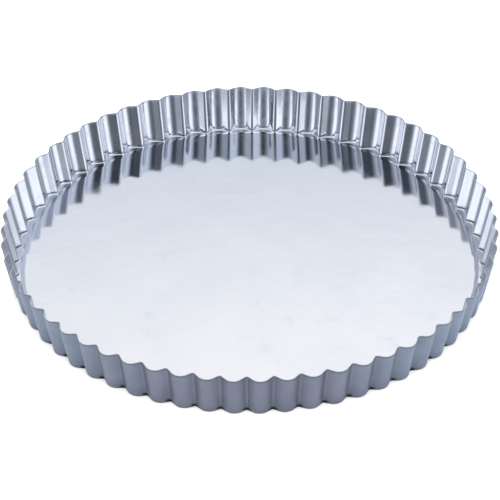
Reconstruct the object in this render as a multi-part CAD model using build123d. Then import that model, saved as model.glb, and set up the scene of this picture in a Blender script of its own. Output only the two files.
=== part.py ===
"""Fluted tart pan with a loose base, in millimetres.

Two pieces of tinned steel sheet: a flared ring with sixty flutes, turned in at its foot
to a flat ledge, and a flat disc that lies loose on that ledge.
The origin is the middle of the underside, +Z is up, and one ridge stands on each axis.
"""

import os
from math import asin, cos, pi, radians, sin, sqrt, tan

from build123d import *

# --- driving dimensions -------------------------------------------------------------
RIM_DIAMETER = 280.0  # over the lobes, at the rim
HEIGHT = 26.6  # table to the rim, at the lobes
RIM_RISE = 0.7  # the rim is cut square to the wall, so the ridges stand higher
SHEET = 0.4  # tinned steel of the ring
BASE_SHEET = 0.5  # the base is a little thicker, so that it stays flat
FLARE_DEG = 11.5  # lean of the wall from upright
FLUTES = 60
FLUTE_DEPTH = 3.6  # lobe crest to ridge crest, on one side of the sheet
RIDGE_RADIUS = 2.8  # of the crest that points into the pan, on its inner side
LOBE_BEND = 1.8  # radius outside the bend from the lobes into the ledge
RIDGE_BEND = 1.0  # the same, under the ridges
BEND_STEPS = 6  # flat steps that the bend is built in
LEDGE_INNER_RADIUS = 123.0  # of the hole that the base covers
BASE_GAP = 0.2  # between the base's edge and the bend under the ridges

# --- worked out from them -----------------------------------------------------------
RIM_RADIUS = RIM_DIAMETER / 2
HALF_PITCH = pi / FLUTES
FLARE = tan(radians(FLARE_DEG))
TURN = radians(90 - FLARE_DEG)  # from the ledge round to the wall
LOBE_FOOT = RIM_RADIUS - HEIGHT * FLARE  # where the outside would meet the table
RIDGE_FOOT = LOBE_FOOT - FLUTE_DEPTH
BASE_RADIUS = RIDGE_FOOT - RIDGE_BEND * tan(TURN / 2) - BASE_GAP
OVERSHOOT = 2.0  # how far a cutting tool runs past the faces it cuts


def at(radius, angle):
    """The point at that radius and angle about +Z, as a pair."""
    return (radius * cos(angle), radius * sin(angle))


def crest_radius(foot, bend, skin, z):
    """The distance from +Z, at height z, of a lobe's or a ridge's crest.

    skin is how deep the surface lies under the outside: 0 or SHEET.
    """
    arc = bend - skin
    below_centre = bend - z
    if below_centre > arc * cos(TURN):
        return foot - bend * tan(TURN / 2) + sqrt(max(0.0, arc**2 - below_centre**2))
    return foot + z * FLARE - skin / sin(TURN)


def flute_outline(skin, z):
    """The face that one surface of the wall encloses at height z.

    A wide arc makes each lobe and a small one makes each ridge, and they meet tangent.
    """
    lobe_crest = crest_radius(LOBE_FOOT, LOBE_BEND, skin, z)
    ridge_crest = crest_radius(RIDGE_FOOT, RIDGE_BEND, skin, z)
    ridge_radius = RIDGE_RADIUS - SHEET + skin
    ridge_centre = ridge_crest + ridge_radius
    across = ridge_centre * cos(HALF_PITCH) - lobe_crest
    along = ridge_centre * sin(HALF_PITCH)
    lobe_radius = (across**2 + along**2 - ridge_radius**2) / (2 * (ridge_radius - across))
    lobe_centre = lobe_crest - lobe_radius

    # where the two arcs meet, seen from the lobe's middle line
    reach = lobe_radius / (lobe_radius + ridge_radius)
    meet_x = lobe_centre + (ridge_centre * cos(HALF_PITCH) - lobe_centre) * reach
    meet_y = along * reach
    meet_radius = sqrt(meet_x**2 + meet_y**2)
    meet_angle = asin(meet_y / meet_radius)

    edges = []
    for number in range(FLUTES):
        lobe = HALF_PITCH * (2 * number + 1)
        ridge = lobe + HALF_PITCH
        lobe_end = at(meet_radius, lobe + meet_angle)
        next_lobe_start = at(meet_radius, ridge + HALF_PITCH - meet_angle)
        lobe_start = at(meet_radius, lobe - meet_angle)
        edges.append(ThreePointArc(lobe_start, at(lobe_crest, lobe), lobe_end))
        edges.append(ThreePointArc(lobe_end, at(ridge_crest, ridge), next_lobe_start))
    return Pos(0, 0, z) * make_face(edges)


def fluted_plug(skin):
    """The solid inside one surface of the wall, from its flat bottom to past the rim."""
    outlines = []
    for step in range(BEND_STEPS + 1):
        turned = TURN * step / BEND_STEPS
        height = LOBE_BEND - (LOBE_BEND - skin) * cos(turned)
        outlines.append(flute_outline(skin, height))
    outlines.append(flute_outline(skin, HEIGHT + OVERSHOOT))
    return loft(outlines, ruled=True)


def above_rim():
    """What is trimmed off above the rim: the space over a shallow cone."""
    slope = RIM_RISE / FLUTE_DEPTH
    inner = RIM_RADIUS - 3 * FLUTE_DEPTH
    outer = RIM_RADIUS + 3 * FLUTE_DEPTH
    top = HEIGHT + 4 * OVERSHOOT
    corners = [
        (inner, HEIGHT + (RIM_RADIUS - inner) * slope),
        (outer, HEIGHT + (RIM_RADIUS - outer) * slope),
        (outer, top),
        (inner, top),
    ]
    return revolve(Plane.XZ * Polygon(*corners, align=None), Axis.Z)


def fluted_ring():
    """The flared, fluted wall with the ledge at its foot."""
    hole = Pos(0, 0, -OVERSHOOT) * Cylinder(
        LEDGE_INNER_RADIUS, 2 * OVERSHOOT, align=(Align.CENTER, Align.CENTER, Align.MIN)
    )
    return fluted_plug(0) - fluted_plug(SHEET) - hole - above_rim()


def loose_base():
    """The flat disc that lies on the ledge."""
    disc = Cylinder(BASE_RADIUS, BASE_SHEET, align=(Align.CENTER, Align.CENTER, Align.MIN))
    return Pos(0, 0, SHEET) * disc


def main():
    os.makedirs("parts", exist_ok=True)
    for name, shape in {"fluted_ring": fluted_ring(), "loose_base": loose_base()}.items():
        export_step(shape, f"parts/{name}.step")
        print(name, len(shape.solids()), "solid,", round(shape.volume), "mm3")


main()
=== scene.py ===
"""The looks of a fluted tart pan with a loose base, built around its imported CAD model.

Everything is in metres, in the CAD model's frame: the origin is the middle of the pan's
underside and +Z is up. Two finely meshed sheets of tinned steel replace the CAD's two. The
flutes have a straight flank, which the CAD's don't, and are slightly shallower.
"""

import math

import bpy
import numpy as np
from mathutils import Matrix, Vector


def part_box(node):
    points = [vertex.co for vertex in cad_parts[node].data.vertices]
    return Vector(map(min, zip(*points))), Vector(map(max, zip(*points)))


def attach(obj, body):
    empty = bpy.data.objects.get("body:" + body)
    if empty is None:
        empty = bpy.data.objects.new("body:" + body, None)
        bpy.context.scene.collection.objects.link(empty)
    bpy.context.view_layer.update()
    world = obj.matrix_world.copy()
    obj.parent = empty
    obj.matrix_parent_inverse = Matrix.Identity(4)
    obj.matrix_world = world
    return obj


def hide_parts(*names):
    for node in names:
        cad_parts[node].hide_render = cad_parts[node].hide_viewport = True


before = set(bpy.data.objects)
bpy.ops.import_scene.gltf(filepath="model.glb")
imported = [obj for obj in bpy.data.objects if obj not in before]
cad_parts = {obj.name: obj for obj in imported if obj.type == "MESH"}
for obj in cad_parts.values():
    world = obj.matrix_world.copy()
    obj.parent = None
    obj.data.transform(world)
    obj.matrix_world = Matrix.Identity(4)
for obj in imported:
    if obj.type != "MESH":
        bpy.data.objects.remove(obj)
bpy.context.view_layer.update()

MM = 0.001
rng = np.random.default_rng(60)

# --- sizes: the outer ones come from the CAD model's boxes --------------------------
ring_low, ring_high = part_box("fluted_ring")
base_low, base_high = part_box("loose_base")

FLUTES = 60
HALF_PITCH = math.pi / FLUTES
SHEET = base_low.z  # the base lies on the ring's ledge
RIM_RADIUS = ring_high.x / math.cos(HALF_PITCH)  # the box touches a pair of lobes
RIM_RISE = 0.7 * MM  # how far the ridges stand above the lobes at the rim
RIM_HEIGHT = ring_high.z - RIM_RISE
FLUTE_DEPTH = 3.3 * MM
RIDGE_RADIUS = 2.0 * MM
FLANK = 2.8 * MM  # straight run between a lobe's arc and a ridge's
LOBE_BEND = 1.7 * MM
RIDGE_BEND = 1.0 * MM
FLARE_ANGLE = math.radians(11.5)
LEDGE_INNER_RADIUS = 123.0 * MM
BASE_RADIUS = base_high.x

FLARE = math.tan(FLARE_ANGLE)
TURN = math.pi / 2 - FLARE_ANGLE
LOBE_FOOT = RIM_RADIUS - RIM_HEIGHT * FLARE
RIDGE_FOOT = LOBE_FOOT - FLUTE_DEPTH
LEDGE_OUTER_RADIUS = RIDGE_FOOT - 1.2 * MM  # just inside where the ridges bend into it

# --- how finely the sheets are meshed -----------------------------------------------
LOBE_STEPS = 22
RIDGE_STEPS = 14
BEND_ROWS = 10
WALL_ROWS = 14
RIM_ROUND = 0.16 * MM  # how far the shears rolled the rim's edge over
RIM_LINE = 0.45 * MM  # how far below the edge the painted shade line lies
RIM_LINE_END = 0.8 * MM
RIM_STEPS = 4
LEDGE_SHARES = (0.0, 0.02, 0.5, 0.98)  # rows across the ledge, from its inner edge
FOOT_BAND = 3 * MM  # the lowest part of the wall, where the ridges and the painted shade at the foot begin
BASE_SIDES = 360
BASE_CORNER = 0.06 * MM


# --- the ring -----------------------------------------------------------------------
def crest_radius(foot, bend, skin, z):
    """How far a lobe's or a ridge's crest is from +Z at height z, skin under the outside."""
    arc = bend - skin
    below_centre = bend - z
    if below_centre > arc * math.cos(TURN):
        return foot - bend * math.tan(TURN / 2) + math.sqrt(max(0.0, arc**2 - below_centre**2))
    return foot + z * FLARE - skin / math.sin(TURN)


def flute(skin, z):
    """One pitch of the wall's outline at height z, as radii and angles from the lobe's middle."""
    lobe_crest = crest_radius(LOBE_FOOT, LOBE_BEND, skin, z)
    ridge_crest = crest_radius(RIDGE_FOOT, RIDGE_BEND, skin, z)
    ridge_radius = RIDGE_RADIUS - SHEET + skin
    centre = ridge_crest + ridge_radius
    across = centre * math.cos(HALF_PITCH) - lobe_crest
    along = centre * math.sin(HALF_PITCH)
    lobe_radius = across**2 + along**2 - ridge_radius**2 - FLANK**2
    lobe_radius /= 2 * (ridge_radius - across)
    lobe_centre = lobe_crest - lobe_radius
    opening = math.atan2(along, centre * math.cos(HALF_PITCH) - lobe_centre)
    opening -= math.atan2(FLANK, lobe_radius + ridge_radius)

    turn = np.linspace(-opening, opening, LOBE_STEPS + 1)
    x = lobe_centre + lobe_radius * np.cos(turn)
    y = lobe_radius * np.sin(turn)
    # the ridge's arc runs from the flank's end round to the next flank's start
    start = opening + math.pi
    end = 2 * (math.pi + HALF_PITCH) - start
    turn = np.linspace(start, end, RIDGE_STEPS + 1)
    x = np.append(x, centre * math.cos(HALF_PITCH) + ridge_radius * np.cos(turn))
    y = np.append(y, centre * math.sin(HALF_PITCH) + ridge_radius * np.sin(turn))
    return np.hypot(x, y), np.arctan2(y, x)


class Handling:
    """The small unevenness that pressing and use leave, as a radial push at each point."""

    hollow = 0.10 * MM  # the wall is very slightly hollow from foot to rim
    starts_at = 2.2 * MM  # below this height the wall is even
    full_after = 4 * MM

    def __init__(self):
        self.lobe_push = rng.normal(0, 0.07 * MM, FLUTES)
        self.lobe_lean = rng.normal(0, 0.10 * MM, FLUTES)
        self.ridge_shift = rng.normal(0, math.radians(0.04), FLUTES)
        self.skew = rng.normal(0, 0.03 * MM, FLUTES)
        self.waves = [
            (count, rng.uniform(0, 2 * math.pi), rng.normal(0, 0.10 * MM))
            for count in (2, 3, 5, 7, 11)
        ]
        self.dents = [
            (
                rng.integers(FLUTES),
                rng.uniform(-0.3, 0.3),
                rng.uniform(0.25, 0.85),
                rng.uniform(0.04, 0.10) * MM,
                rng.uniform(1.2, 2.4) * MM,
            )
            for _ in range(26)
        ]
        # the three deepest, in the far wall
        self.dents += [
            (14, 0.0, 0.50, -0.12 * MM, 1.1 * MM),
            (11, 0.1, 0.45, -0.10 * MM, 1.0 * MM),
            (21, 0.15, 0.85, 0.14 * MM, 1.1 * MM),
        ]

    def radial(self, flute_number, place, angle, z):
        """place is -1..1 across a lobe, and angle is about +Z."""
        up = z / RIM_HEIGHT
        in_lobe = np.clip(1 - place**2, 0, 1)
        push = self.lobe_push[flute_number] * in_lobe
        push += self.lobe_lean[flute_number] * (up - 0.3) * in_lobe * (up > 0)
        push += self.skew[flute_number] * place * in_lobe * up
        for count, phase, size in self.waves:
            push += size * np.cos(count * angle + phase) * up
        push += self.hollow * np.sin(math.pi * np.clip(up, 0, 1))
        for number, where, height, depth, width in self.dents:
            here = flute_number == number
            across = (place - where) * HALF_PITCH * RIM_RADIUS
            apart = across**2 + ((up - height) * RIM_HEIGHT) ** 2
            push += np.where(here, depth * np.exp(-apart / width**2), 0)
        return push * np.clip((z - self.starts_at) / self.full_after, 0, 1)


def ring_rows():
    """The sheet's outline from the ledge's inner edge, up the inside, over the rim and back.

    Each row is (kind, skin, height, radius): radius is only for the flat ledge.
    """
    inside, outside = [], []
    for skin, rows in ((SHEET, inside), (0.0, outside)):
        for share in LEDGE_SHARES:
            flat = LEDGE_INNER_RADIUS + share * (LEDGE_OUTER_RADIUS - LEDGE_INNER_RADIUS)
            rows.append(("ledge", skin, skin, flat))
        for step in range(BEND_ROWS + 1):
            angle = TURN * step / BEND_ROWS
            rows.append(("wall", skin, LOBE_BEND - (LOBE_BEND - skin) * math.cos(angle), None))
        start = rows[-1][2]
        for step in range(1, WALL_ROWS + 1):
            share = 1 - (1 - step / WALL_ROWS) ** 1.25
            rows.append(("wall", skin, start + (RIM_HEIGHT - start) * share, None))
    return inside, outside


def ring_points(handling, kind, skin, z, flat, drop, inset):
    """One row of points all round the ring, with the attributes that the finish reads."""
    radii, angles = flute(skin, max(z, skin))
    number = np.repeat(np.arange(FLUTES), len(radii))
    local = np.tile(angles, FLUTES)
    radius = np.tile(radii, FLUTES)
    place = local / HALF_PITCH
    wrapped = np.where(place > 1, place - 2, place)
    angle = local + (2 * number + 1) * HALF_PITCH
    ridges = 2 * HALF_PITCH * np.arange(FLUTES)
    shift = np.interp(angle, ridges, handling.ridge_shift, period=2 * math.pi)
    angle = angle + shift * min(1.0, z / FOOT_BAND)
    crest = crest_radius(LOBE_FOOT, LOBE_BEND, skin, max(z, skin))
    into_ridge = np.clip((crest - radius) / FLUTE_DEPTH, 0, 1)
    if kind == "ledge":
        radius = np.full_like(radius, flat)
        height = np.full_like(radius, z)
        into_ridge = np.zeros_like(radius)
    else:
        up = np.clip(z / RIM_HEIGHT, 0, 1)
        height = z + RIM_RISE * into_ridge * up**3
        radius = radius + handling.radial(number, wrapped, angle, np.full_like(radius, z))
    height = height - drop
    radius = radius + inset
    return np.stack([radius * np.cos(angle), radius * np.sin(angle), height], -1), into_ridge


def build_ring():
    handling = Handling()
    inside, outside = ring_rows()
    rows, attributes = [], []

    def add(row, drop, inset, is_outside, rim):
        points, ridge = ring_points(handling, *row, drop, inset)
        rows.append(points)
        kind, _, z, _ = row
        foot = 0.0 if kind == "ledge" else max(0.0, 1 - z / FOOT_BAND)
        columns = np.broadcast_arrays(ridge, is_outside, rim, foot)
        attributes.append(np.stack(columns, -1))

    for row in inside[:-1]:
        add(row, 0, 0, 0.0, 0.0)
    top_in, top_out = inside[-1], outside[-1]
    # the rim: a square inner corner, and an outer corner that the shears rolled over
    add(top_in, 0.05 * MM, 0, 0.0, 0.6)
    add(top_in, 0.0, 0.03 * MM, 0.0, 1.0)
    for step in range(RIM_STEPS + 1):
        share = step / RIM_STEPS
        turn = math.pi / 2 * share
        drop = RIM_ROUND * (1 - math.cos(turn))
        inset = RIM_ROUND * (math.sin(turn) - 1)
        add(top_out, drop, inset, 0.5 + 0.5 * share, 1.0 - 0.8 * share)
    add(top_out, RIM_LINE, 0, 1.0, -1.0)  # a negative rim marks the painted shade line
    add(top_out, RIM_LINE_END, 0, 1.0, 0.0)
    for row in reversed(outside[:-1]):
        add(row, 0, 0, 1.0, 0.0)

    quads = grid_quads(len(rows), len(rows[0]), closed_rows=True)
    mesh = smooth_mesh("fluted_ring_sheet", np.concatenate(rows).tolist(), quads)
    names = ("in_ridge", "outside", "rim", "foot")
    write_attributes(mesh, names, np.concatenate(attributes))
    return new_piece("tinned_ring", mesh)


def grid_quads(count, size, closed_rows):
    """The quads of a tube of count rows of size points; closed_rows joins the last to the first."""
    row, column = np.meshgrid(
        np.arange(count if closed_rows else count - 1), np.arange(size), indexing="ij"
    )
    here, above = row * size, (row + 1) % count * size
    after = (column + 1) % size
    quads = np.stack([here + column, above + column, above + after, here + after], -1)
    return quads.reshape(-1, 4).tolist()


def smooth_mesh(name, corners, faces):
    mesh = bpy.data.meshes.new(name)
    mesh.from_pydata(corners, [], faces)
    mesh.shade_smooth()
    return mesh


def write_attributes(mesh, names, values):
    for index, name in enumerate(names):
        attribute = mesh.attributes.new(name, "FLOAT", "POINT")
        attribute.data.foreach_set("value", values[:, index].astype(np.float32))


def new_piece(name, mesh):
    piece = bpy.data.objects.new(name, mesh)
    bpy.context.scene.collection.objects.link(piece)
    return piece


# --- the base -----------------------------------------------------------------------
def build_base():
    """The flat disc, with the faint waviness that keeps a sheet from being a true mirror."""
    top, bottom = base_high.z, base_low.z
    angle = np.linspace(0, 2 * math.pi, BASE_SIDES, endpoint=False)
    waves = [
        (rng.uniform(25, 90), rng.uniform(25, 90), rng.uniform(0, 6.28), rng.uniform(0.4, 1.0))
        for _ in range(7)
    ]

    def sag(x, y):
        total = 0.0
        for across, along, phase, size in waves:
            total += size * np.sin(x * across + phase) * np.cos(y * along - phase)
        return 0.012 * MM * total

    rows, edge = [], []

    def add(radius, z, worn, wavy=False):
        x, y = radius * np.cos(angle), radius * np.sin(angle)
        height = np.full_like(x, z) + (sag(x, y) if wavy else 0)
        rows.append(np.stack([x, y, height], -1))
        edge.append(np.full(BASE_SIDES, worn))

    for share in np.linspace(0, 1, 46)[1:-1]:
        add(share * (BASE_RADIUS - BASE_CORNER), top, 0.0, wavy=True)
    add(BASE_RADIUS - BASE_CORNER, top, 0.5, wavy=True)
    add(BASE_RADIUS, top - BASE_CORNER, 1.0)
    add(BASE_RADIUS, bottom + BASE_CORNER, 1.0)
    add(BASE_RADIUS - BASE_CORNER, bottom, 0.5)
    for share in (0.97, 0.75, 0.5, 0.25, 0.05):
        add(share * BASE_RADIUS, bottom, 0.0)

    corners = np.concatenate(rows).tolist()
    faces = grid_quads(len(rows), BASE_SIDES, closed_rows=False)
    # a fan of triangles closes the middle of each face
    top_middle, bottom_middle = len(corners), len(corners) + 1
    corners += [(0, 0, top + sag(0.0, 0.0)), (0, 0, bottom)]
    last_row = (len(rows) - 1) * BASE_SIDES
    for column in range(BASE_SIDES):
        after = (column + 1) % BASE_SIDES
        faces.append((top_middle, column, after))
        faces.append((bottom_middle, last_row + after, last_row + column))
    mesh = smooth_mesh("loose_base_sheet", corners, faces)
    values = np.concatenate(edge + [np.zeros(2)])[:, None]
    write_attributes(mesh, ("edge",), values)
    return new_piece("tinned_base", mesh)


# --- node helpers -------------------------------------------------------------------
class Nodes:
    """Short ways to add and join shader nodes."""

    def __init__(self, tree):
        self.tree = tree
        tree.nodes.clear()

    def add(self, kind, inputs=None, **settings):
        node = self.tree.nodes.new(kind)
        for name, value in settings.items():
            setattr(node, name, value)
        for name, value in (inputs or {}).items():
            socket = node.inputs[name]
            if isinstance(value, bpy.types.NodeSocket):
                self.tree.links.new(value, socket)
            else:
                socket.default_value = value
        return node

    def math(self, operation, a, b=0.0):
        node = self.add("ShaderNodeMath", {0: a, 1: b}, operation=operation)
        return node.outputs[0]

    def tinted(self, brightness, tint):
        """A grey of this brightness, turned towards blue by tint."""
        red = self.math("MULTIPLY", brightness, self.math("SUBTRACT", 1.0, tint))
        less = self.math("MULTIPLY", tint, 0.6)
        green = self.math("MULTIPLY", brightness, self.math("SUBTRACT", 1.0, less))
        node = self.add("ShaderNodeCombineXYZ", {"X": red, "Y": green, "Z": brightness})
        return node.outputs["Vector"]

    def sum_colours(self, a, b):
        node = self.add("ShaderNodeVectorMath", {0: a, 1: b}, operation="ADD")
        return node.outputs["Vector"]

    def noise(self, vector, scale, detail=3.0, roughness=0.5):
        node = self.add(
            "ShaderNodeTexNoise",
            {"Vector": vector, "Scale": scale, "Detail": detail, "Roughness": roughness},
        )
        return node.outputs["Fac"]

    def span(self, value, low, high, to_low=0.0, to_high=1.0):
        node = self.add(
            "ShaderNodeMapRange",
            {"Value": value, "From Min": low, "From Max": high, "To Min": to_low, "To Max": to_high},
            interpolation_type="SMOOTHSTEP",
        )
        return node.outputs["Result"]

    def mix(self, share, a, b):
        node = self.add("ShaderNodeMix", data_type="RGBA")
        for socket, value in zip((node.inputs[0], node.inputs[6], node.inputs[7]), (share, a, b)):
            if isinstance(value, bpy.types.NodeSocket):
                self.tree.links.new(value, socket)
            else:
                socket.default_value = value
        return node.outputs[2]

    def attribute(self, name):
        return self.add("ShaderNodeAttribute", attribute_name=name).outputs["Fac"]

    def scaled(self, scale):
        place = self.add("ShaderNodeTexCoord").outputs["Object"]
        return self.add("ShaderNodeMapping", {"Vector": place, "Scale": scale}).outputs["Vector"]


def new_material(name):
    material = bpy.data.materials.new(name)
    material.use_nodes = True
    return material, Nodes(material.node_tree)


# --- finishes -----------------------------------------------------------------------
def tinplate_wall():
    """Bright tin inside; outside a duller finish, its dark blue-grey partly painted shade, with
    painted shade down the grooves.
    """
    material, n = new_material("tinplate_wall")
    outside = n.attribute("outside")
    ridge = n.attribute("in_ridge")
    rim = n.attribute("rim")
    foot = n.attribute("foot")
    place = n.scaled((1, 1, 1))
    drawn = n.scaled((1, 1, 0.12))

    clouds = n.noise(place, 55, 4)
    smudge = n.span(n.noise(place, 160, 5, 0.6), 0.52, 0.72)
    streaks = n.noise(drawn, 900, 3, 0.6)
    spots = n.span(n.noise(place, 420, 2), 0.70, 0.78)

    bright = n.mix(clouds, (0.80, 0.82, 0.87, 1), (0.72, 0.75, 0.82, 1))
    bright = n.mix(n.math("MULTIPLY", smudge, 0.35), bright, (0.60, 0.63, 0.70, 1))
    bright = n.mix(n.math("MULTIPLY", spots, 0.5), bright, (0.30, 0.31, 0.35, 1))
    # partly painted shade: the outside is a duller tin, painted dark blue-grey to stand in for the
    # shade it would mirror from the table
    dull_and_shaded = n.mix(clouds, (0.155, 0.168, 0.215, 1), (0.125, 0.14, 0.185, 1))
    dull_and_shaded = n.mix(n.math("MULTIPLY", smudge, 0.4), dull_and_shaded, (0.18, 0.19, 0.235, 1))
    # painted light: the outer wall is painted lighter and bluer towards the pan's left and right
    # sides
    across = n.add("ShaderNodeSeparateXYZ", {"Vector": place}).outputs[0]
    to_left = n.math("MULTIPLY", across, -1.0)
    painted_side_light = n.span(across, 0.02, 0.14, 0.0, 0.75)
    painted_side_light = n.math("ADD", painted_side_light, n.span(to_left, 0.03, 0.12, 0.0, 0.5))
    dull_and_shaded = n.mix(painted_side_light, dull_and_shaded, (0.185, 0.23, 0.305, 1))
    # painted shade: the outer grooves are painted darker
    groove = n.span(ridge, 0.35, 0.95)
    dull_and_shaded = n.mix(n.math("MULTIPLY", groove, 0.15), dull_and_shaded, (0.08, 0.09, 0.12, 1))
    # painted shade: a thin near-black line along the foot, and a dark patch in the bottom of each
    # groove
    painted_foot_line = n.span(foot, 0.45, 0.90, 0.0, 0.85)
    painted_groove_foot = n.span(n.math("MULTIPLY", foot, groove), 0.02, 0.45)
    dull_and_shaded = n.mix(n.math("MAXIMUM", painted_foot_line, painted_groove_foot), dull_and_shaded, (0.016, 0.016, 0.020, 1))
    # painted shade: a dark line just below the rolled edge
    rim_shade = n.math("MULTIPLY", rim, -1.0)
    dull_and_shaded = n.mix(n.math("MULTIPLY", rim_shade, 0.75), dull_and_shaded, (0.04, 0.042, 0.055, 1))
    colour = n.mix(n.span(outside, 0.3, 0.7), bright, dull_and_shaded)
    colour = n.mix(n.math("MULTIPLY", rim, 0.5), colour, (0.66, 0.67, 0.71, 1))

    rough = n.span(n.noise(place, 70, 4), 0.3, 0.7, 0.07, 0.16)
    rough = n.math("ADD", rough, n.math("MULTIPLY", smudge, 0.08))
    rough = n.math("ADD", rough, n.math("MULTIPLY", n.span(outside, 0.3, 0.7), 0.42))

    grain = n.add(
        "ShaderNodeBump", {"Strength": 0.06, "Distance": 0.0002, "Height": streaks}
    ).outputs[0]
    bump = n.add(
        "ShaderNodeBump",
        {"Strength": 0.10, "Distance": 0.0006, "Height": n.noise(place, 120, 3), "Normal": grain},
    ).outputs[0]
    shader = n.add(
        "ShaderNodeBsdfPrincipled",
        {"Base Color": colour, "Metallic": 1.0, "Roughness": rough, "Normal": bump},
    )
    n.add("ShaderNodeOutputMaterial", {"Surface": shader.outputs[0]})
    return material


def tinplate_base():
    """Bright tin, nearly a mirror, with rolling lines, smudges and hairline scratches."""
    material, n = new_material("tinplate_base")
    place = n.scaled((1, 1, 1))
    rolled = n.scaled((0.06, 1, 1))
    edge = n.attribute("edge")

    clouds = n.noise(place, 26, 4)
    smudge = n.span(n.noise(place, 48, 6, 0.62), 0.55, 0.75)
    lines = n.noise(rolled, 1400, 3, 0.6)
    scratch_place = n.add(
        "ShaderNodeMapping",
        {"Vector": place, "Rotation": (0, 0, 0.6), "Scale": (0.05, 1, 1)},
    ).outputs["Vector"]
    scratches = n.span(n.noise(scratch_place, 700, 2, 0.5), 0.735, 0.76)
    spots = n.span(n.noise(place, 260, 2), 0.74, 0.80)

    colour = n.mix(clouds, (0.86, 0.87, 0.905, 1), (0.80, 0.82, 0.875, 1))
    colour = n.mix(n.math("MULTIPLY", smudge, 0.35), colour, (0.74, 0.755, 0.80, 1))
    colour = n.mix(n.math("MULTIPLY", spots, 0.35), colour, (0.50, 0.51, 0.55, 1))
    colour = n.mix(n.math("MULTIPLY", scratches, 0.4), colour, (0.92, 0.93, 0.95, 1))
    colour = n.mix(n.math("MULTIPLY", edge, 0.5), colour, (0.55, 0.57, 0.62, 1))

    rough = n.span(clouds, 0.3, 0.7, 0.045, 0.10)
    rough = n.math("ADD", rough, n.math("MULTIPLY", smudge, 0.09))
    rough = n.math("ADD", rough, n.math("MULTIPLY", scratches, 0.15))

    grain = n.add(
        "ShaderNodeBump", {"Strength": 0.04, "Distance": 0.0002, "Height": lines}
    ).outputs[0]
    bump = n.add(
        "ShaderNodeBump",
        {"Strength": 0.05, "Distance": 0.0008, "Height": n.noise(place, 60, 2), "Normal": grain},
    ).outputs[0]
    shader = n.add(
        "ShaderNodeBsdfPrincipled",
        {"Base Color": colour, "Metallic": 1.0, "Roughness": rough, "Normal": bump},
    )
    n.add("ShaderNodeOutputMaterial", {"Surface": shader.outputs[0]})
    return material


# --- the stage ----------------------------------------------------------------------
def build_floor():
    half = 6.0
    mesh = bpy.data.meshes.new("stage_floor")
    corners = [(-half, -half, 0), (half, -half, 0), (half, half, 0), (-half, half, 0)]
    mesh.from_pydata(corners, [], [(0, 1, 2, 3)])
    floor = new_piece("stage_floor", mesh)
    floor.location.z = -0.02 * MM
    material, n = new_material("stage_floor")
    looks = {
        "Base Color": (0.86, 0.86, 0.86, 1),
        "Roughness": 0.8,
        "Emission Color": (1, 1, 1, 1),  # a lit table, like a light box: no hard shadow
        "Emission Strength": 0.45,
    }
    shader = n.add("ShaderNodeBsdfPrincipled", looks)
    n.add("ShaderNodeOutputMaterial", {"Surface": shader.outputs[0]})
    mesh.materials.append(material)


# The room that the tin mirrors, made of a few soft lights. A place in it runs from 0 on the
# camera's side round to 1 behind the pan.
CAMERA_ELEVATION = math.radians(36.78)
# where the camera stands, and what it hides of the room
CAMERA_SIDE = (0.0, -math.cos(CAMERA_ELEVATION), math.sin(CAMERA_ELEVATION))
ROOM_TINT = 0.17  # how blue the dim room is, where 0 is white
DARK_TINT = 0.33  # and the darkness above the camera
SOFT_BOX = 1.05
OVERHEAD = 1.1
LEFT = {
    "box_rise": (0.15, 0.33),
    "box_fall": (0.42, 0.64),
    "wash": (0.0, 0.64, 0.60),
    "behind": 0.37,
}
RIGHT = {
    "box_rise": (0.13, 0.30),
    "box_fall": (0.38, 0.63),
    "wash": (0.06, 0.46, 0.79),
    "behind": 0.24,
}


def low_light(n, place, side):
    """Near the horizon: a dim room, one large soft box and a pale wall behind the pan."""
    room = n.span(place, 0.04, 0.16, 0.18, 0.40)
    room = n.math("ADD", room, n.span(place, 0.72, 0.92, 0.0, 0.43))
    box = n.math("SUBTRACT", n.span(place, *side["box_rise"]), n.span(place, *side["box_fall"]))
    box = n.math("MULTIPLY", box, SOFT_BOX)
    return n.sum_colours(n.tinted(room, ROOM_TINT), n.tinted(box, 0.0))


def high_light(n, place, side):
    """Halfway up: dark over the camera, then a wash that grows brighter all the way back."""
    start, end, wash = side["wash"]
    bright = n.span(place, start, end, 0.065, 0.065 + wash)
    bright = n.math("ADD", bright, n.span(place, 0.70, 1.0, 0.0, side["behind"]))
    tint = n.math("MULTIPLY", n.math("SUBTRACT", 1.0, place), DARK_TINT)
    return n.tinted(bright, tint)


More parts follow.
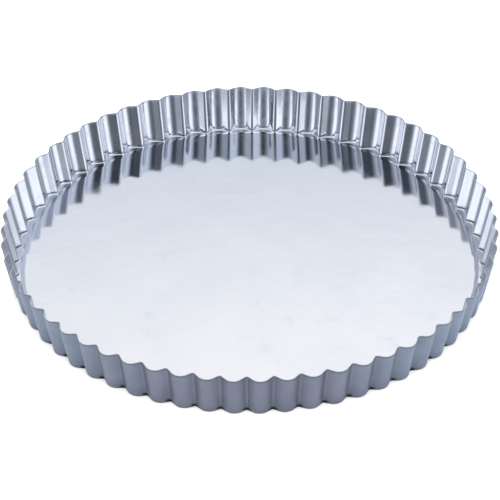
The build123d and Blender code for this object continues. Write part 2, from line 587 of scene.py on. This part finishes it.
def build_surround():
    """Soft light from all round, with a dark gap where the camera looks in."""
    world = bpy.data.worlds.new("soft_surround")
    bpy.context.scene.world = world
    world.use_nodes = True
    n = Nodes(world.node_tree)
    direction = n.add("ShaderNodeTexCoord").outputs["Generated"]
    x, y, z = n.add("ShaderNodeSeparateXYZ", {"Vector": direction}).outputs
    turn = n.math("ARCTAN2", n.math("ABSOLUTE", x), n.math("MULTIPLY", y, -1.0))
    place = n.math("DIVIDE", turn, math.pi)
    side = n.span(x, -0.10, 0.10)
    low = n.mix(side, low_light(n, place, LEFT), low_light(n, place, RIGHT))
    high = n.mix(side, high_light(n, place, LEFT), high_light(n, place, RIGHT))
    # behind the pan the change from low to high starts a little higher up
    start = n.span(place, 0.75, 0.95, 0.50, 0.55)
    colour = n.mix(n.span(z, start, 0.64), low, high)
    colour = n.mix(n.span(z, 0.87, 0.94), colour, (OVERHEAD,) * 3 + (1,))
    facing = n.add(
        "ShaderNodeVectorMath", {0: direction, 1: CAMERA_SIDE}, operation="DOT_PRODUCT"
    ).outputs["Value"]
    colour = n.mix(n.span(facing, 0.965, 0.992), colour, (0.03, 0.034, 0.043, 1))
    seen = n.add("ShaderNodeLightPath").outputs["Is Camera Ray"]
    colour = n.mix(seen, colour, (1, 1, 1, 1))
    background = n.add("ShaderNodeBackground", {"Color": colour, "Strength": 1.0})
    n.add("ShaderNodeOutputWorld", {"Surface": background.outputs[0]})


def add_light(name, place, aim, size, power):
    data = bpy.data.lights.new(name, "AREA")
    data.shape = "DISK"
    data.size = size
    data.energy = power
    light = bpy.data.objects.new(name, data)
    bpy.context.scene.collection.objects.link(light)
    light.location = place
    light.rotation_euler = (Vector(aim) - Vector(place)).to_track_quat("-Z", "Y").to_euler()
    light.visible_glossy = False  # it lights the table, and doesn't show in the tin
    return light


def build_camera():
    """A long lens from above the front, turned very slightly to the pan's right."""
    azimuth = math.radians(0.64)
    roll = math.radians(-0.04)
    distance = 1.60
    target = Vector((0.00024, 0.00996, base_high.z))
    data = bpy.data.cameras.new("camera")
    data.sensor_width = 36
    data.lens = 201.6
    camera = bpy.data.objects.new("camera", data)
    bpy.context.scene.collection.objects.link(camera)
    spin = Matrix.Rotation(azimuth, 4, "Z")
    offset = Vector(CAMERA_SIDE) * distance
    place = spin @ (target + offset)
    tilt = Matrix.Rotation(math.pi / 2 - CAMERA_ELEVATION, 4, "X")
    camera.matrix_world = Matrix.Translation(place) @ spin @ tilt @ Matrix.Rotation(roll, 4, "Z")
    bpy.context.scene.camera = camera


# --- put together -------------------------------------------------------------------
ring = build_ring()
ring.data.materials.append(tinplate_wall())
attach(ring, "ring")
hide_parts("fluted_ring")

base = build_base()
base.data.materials.append(tinplate_base())
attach(base, "base")
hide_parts("loose_base")

build_floor()
build_surround()
add_light("overhead", (0, -0.5, 2.2), (0, 0, 0), 1.4, 60)
build_camera()
view = bpy.context.scene.view_settings
view.view_transform = "Standard"
